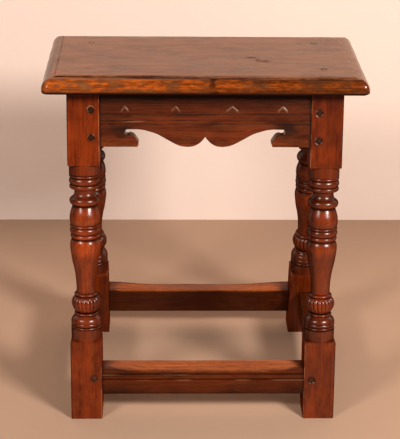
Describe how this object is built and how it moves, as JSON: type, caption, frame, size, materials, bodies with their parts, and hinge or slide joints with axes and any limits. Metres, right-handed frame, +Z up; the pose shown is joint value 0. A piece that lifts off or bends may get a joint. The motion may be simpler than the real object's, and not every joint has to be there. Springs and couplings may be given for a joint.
{
  "type": "joint stool",
  "caption": "Oak joint stool with a moulded plank seat, splayed baluster-turned legs, shaped aprons and a low box stretcher, held by pegged mortise and tenon joints.",
  "frame": {"origin": "on the floor, under the middle of the seat", "axes": "+Z up, +Y towards the back, +X to the right as seen from the front"},
  "size_m": [0.48, 0.3374, 0.54],
  "materials": {
    "oak_seat": "waxed and polished old oak, worn at the edges",
    "oak_legs": "waxed and polished old oak, glossy on the turnings",
    "oak_aprons": "dark waxed oak",
    "oak_stretchers": "waxed oak, worn pale on top",
    "oak_pegs": "dark riven oak"
  },
  "bodies": {
    "root": {"back_apron": "oak_aprons", "back_left_leg": "oak_legs", "back_left_peg_long_foot": "oak_pegs", "back_left_peg_long_lower": "oak_pegs", "back_left_peg_long_upper": "oak_pegs", "back_left_peg_seat": "oak_pegs", "back_left_peg_short_foot": "oak_pegs", "back_left_peg_short_lower": "oak_pegs", "back_left_peg_short_upper": "oak_pegs", "back_right_leg": "oak_legs", "back_right_peg_long_foot": "oak_pegs", "back_right_peg_long_lower": "oak_pegs", "back_right_peg_long_upper": "oak_pegs", "back_right_peg_seat": "oak_pegs", "back_right_peg_short_foot": "oak_pegs", "back_right_peg_short_lower": "oak_pegs", "back_right_peg_short_upper": "oak_pegs", "back_stretcher": "oak_stretchers", "front_apron": "oak_aprons", "front_left_leg": "oak_legs", "front_left_peg_long_foot": "oak_pegs", "front_left_peg_long_lower": "oak_pegs", "front_left_peg_long_upper": "oak_pegs", "front_left_peg_seat": "oak_pegs", "front_left_peg_short_foot": "oak_pegs", "front_left_peg_short_lower": "oak_pegs", "front_left_peg_short_upper": "oak_pegs", "front_right_leg": "oak_legs", "front_right_peg_long_foot": "oak_pegs", "front_right_peg_long_lower": "oak_pegs", "front_right_peg_long_upper": "oak_pegs", "front_right_peg_seat": "oak_pegs", "front_right_peg_short_foot": "oak_pegs", "front_right_peg_short_lower": "oak_pegs", "front_right_peg_short_upper": "oak_pegs", "front_stretcher": "oak_stretchers", "left_apron": "oak_aprons", "left_stretcher": "oak_stretchers", "right_apron": "oak_aprons", "right_stretcher": "oak_stretchers", "seat_board": "oak_seat"}
  },
  "joints": []
}
